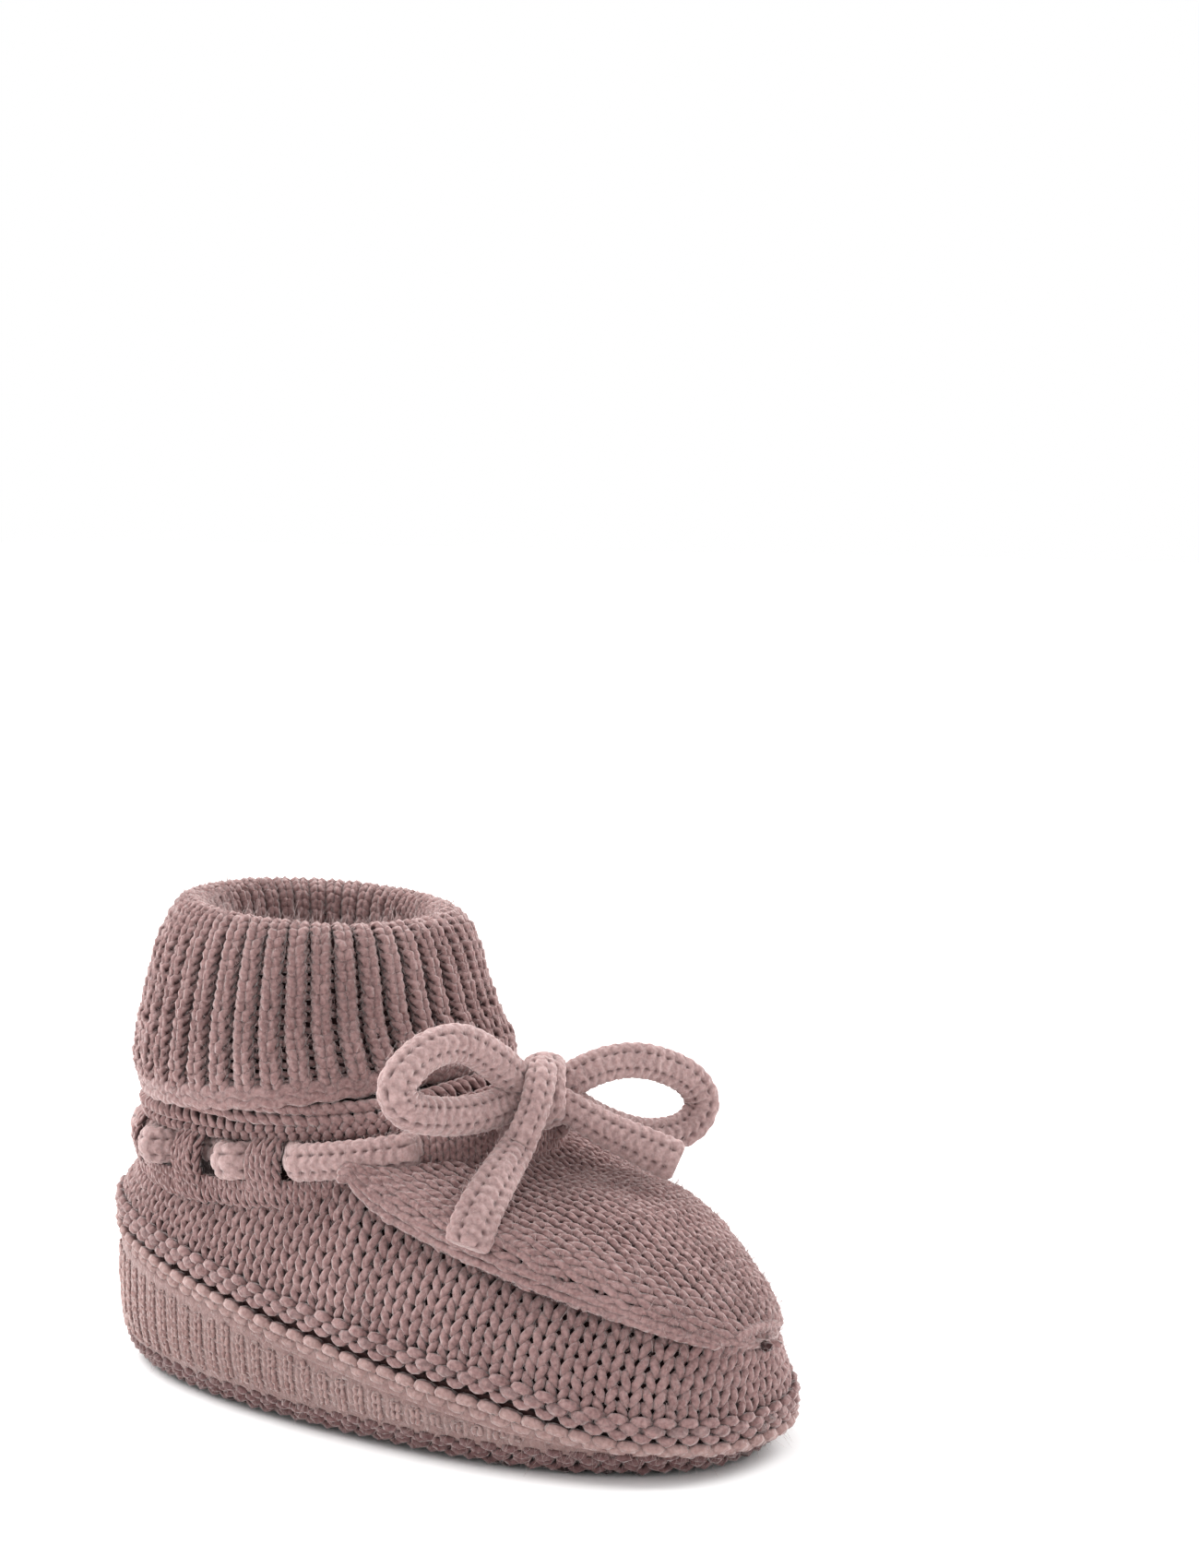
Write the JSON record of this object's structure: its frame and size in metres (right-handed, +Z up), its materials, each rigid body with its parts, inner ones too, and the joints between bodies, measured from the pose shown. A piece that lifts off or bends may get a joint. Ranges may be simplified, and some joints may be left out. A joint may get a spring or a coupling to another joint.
{
  "type": "baby bootie",
  "caption": "Hand-knitted baby bootie with a folded ribbed cuff, a crowned instep, a thick garter sole with purl ridges, and a knitted lace threaded round the ankle and tied in a bow.",
  "frame": {"origin": "middle of the bootie's base, on the surface that the sole rests on", "axes": "+X towards the toe, +Y towards the wearer's left, +Z up out of the cuff"},
  "size_m": [0.1026, 0.0508, 0.064],
  "materials": {
    "knit": "matte wool yarn in stocking stitch and rib",
    "knit_shade": "matte wool yarn in garter stitch and inside faces",
    "lace": "matte knitted cord"
  },
  "bodies": {
    "bootie": {"sole": "knit_shade", "sidewall_band": "knit", "purl_ridge_lower": "knit", "purl_ridge_upper": "knit", "side_upper": "knit", "instep_panel": "knit", "eyelet_band": "knit", "garter_band": "knit_shade", "cuff_standing": "knit_shade", "cuff_turned_down": "knit", "lace_round_ankle": "lace", "bow_knot": "lace"},
    "loop_left": {"bow_loop_left": "lace"},
    "loop_right": {"bow_loop_right": "lace"},
    "tail_left": {"lace_tail_left": "lace"},
    "tail_right": {"lace_tail_right": "lace"}
  },
  "joints": [
    {"name": "loop_left_lift", "type": "hinge", "parent": "bootie", "child": "loop_left", "pos_m": [0.0188, 0.0036, 0.0436], "axis": [0.9243, -0.3818, 0], "range_deg": [0, 45]},
    {"name": "loop_right_lift", "type": "hinge", "parent": "bootie", "child": "loop_right", "pos_m": [0.0164, -0.0054, 0.0438], "axis": [-0.9684, 0.2496, 0], "range_deg": [0, 45]},
    {"name": "tail_left_lift", "type": "hinge", "parent": "bootie", "child": "tail_left", "pos_m": [0.0206, 0.0005, 0.0396], "axis": [0.5524, -0.8336, 0], "range_deg": [0, 45]},
    {"name": "tail_right_lift", "type": "hinge", "parent": "bootie", "child": "tail_right", "pos_m": [0.0192, -0.006, 0.0374], "axis": [-0.9798, -0.2, 0], "range_deg": [0, 45]}
  ]
}
